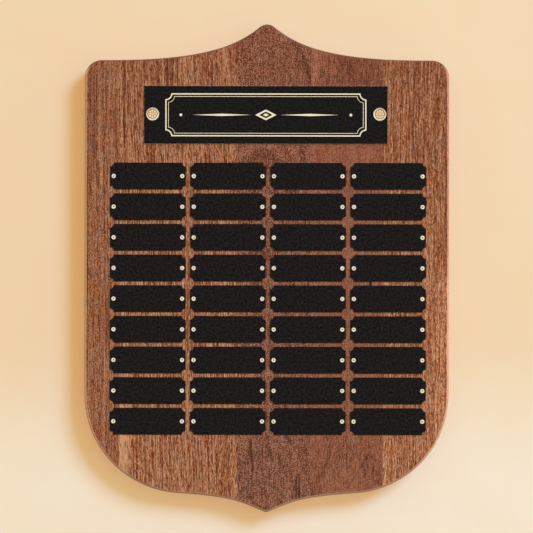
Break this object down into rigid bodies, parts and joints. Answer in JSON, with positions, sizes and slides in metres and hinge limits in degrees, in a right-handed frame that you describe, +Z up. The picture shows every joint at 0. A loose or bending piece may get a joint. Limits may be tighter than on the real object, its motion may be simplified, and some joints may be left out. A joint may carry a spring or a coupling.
{
  "type": "perpetual award shield plaque",
  "caption": "Shield-shaped solid walnut wall plaque with a black header plate, a grid of notched-corner black name plates on domed brass pins, and a keyhole slot in the back.",
  "frame": {"origin": "centre of the flat back face: on the shield's middle line, half way between its peak and its tip", "axes": "+Z up, from the tip to the peak; +Y into the wall, so the plates face -Y; +X to the right of a person who faces the plates"},
  "size_m": [0.3048, 0.0222, 0.408],
  "materials": {
    "walnut_1": "satin lacquer, straight brown grain with pale streaks",
    "walnut_2": "satin lacquer, tan cathedral grain with dark pores",
    "walnut_3": "satin lacquer, red-brown grain with short dark pores",
    "walnut_4": "satin lacquer, red-brown fine grain",
    "walnut_5": "satin lacquer, light tan grain with dark flecks",
    "black_header": "satin black over brass",
    "black_plate": "satin black over brass, bright domed pins",
    "gold_brass": "bright lacquered brass"
  },
  "bodies": {
    "root": {"stave_1": "walnut_1", "stave_2": "walnut_2", "stave_3": "walnut_3", "stave_4": "walnut_4", "stave_5": "walnut_5", "header_plate": "black_header", "rosette_tack_left": "gold_brass", "rosette_tack_right": "gold_brass", "name_plate_r1_c1": "black_plate", "name_plate_r1_c2": "black_plate", "name_plate_r1_c3": "black_plate", "name_plate_r1_c4": "black_plate", "name_plate_r2_c1": "black_plate", "name_plate_r2_c2": "black_plate", "name_plate_r2_c3": "black_plate", "name_plate_r2_c4": "black_plate", "name_plate_r3_c1": "black_plate", "name_plate_r3_c2": "black_plate", "name_plate_r3_c3": "black_plate", "name_plate_r3_c4": "black_plate", "name_plate_r4_c1": "black_plate", "name_plate_r4_c2": "black_plate", "name_plate_r4_c3": "black_plate", "name_plate_r4_c4": "black_plate", "name_plate_r5_c1": "black_plate", "name_plate_r5_c2": "black_plate", "name_plate_r5_c3": "black_plate", "name_plate_r5_c4": "black_plate", "name_plate_r6_c1": "black_plate", "name_plate_r6_c2": "black_plate", "name_plate_r6_c3": "black_plate", "name_plate_r6_c4": "black_plate", "name_plate_r7_c1": "black_plate", "name_plate_r7_c2": "black_plate", "name_plate_r7_c3": "black_plate", "name_plate_r7_c4": "black_plate", "name_plate_r8_c1": "black_plate", "name_plate_r8_c2": "black_plate", "name_plate_r8_c3": "black_plate", "name_plate_r8_c4": "black_plate", "name_plate_r9_c1": "black_plate", "name_plate_r9_c2": "black_plate", "name_plate_r9_c3": "black_plate", "name_plate_r9_c4": "black_plate"}
  },
  "joints": []
}
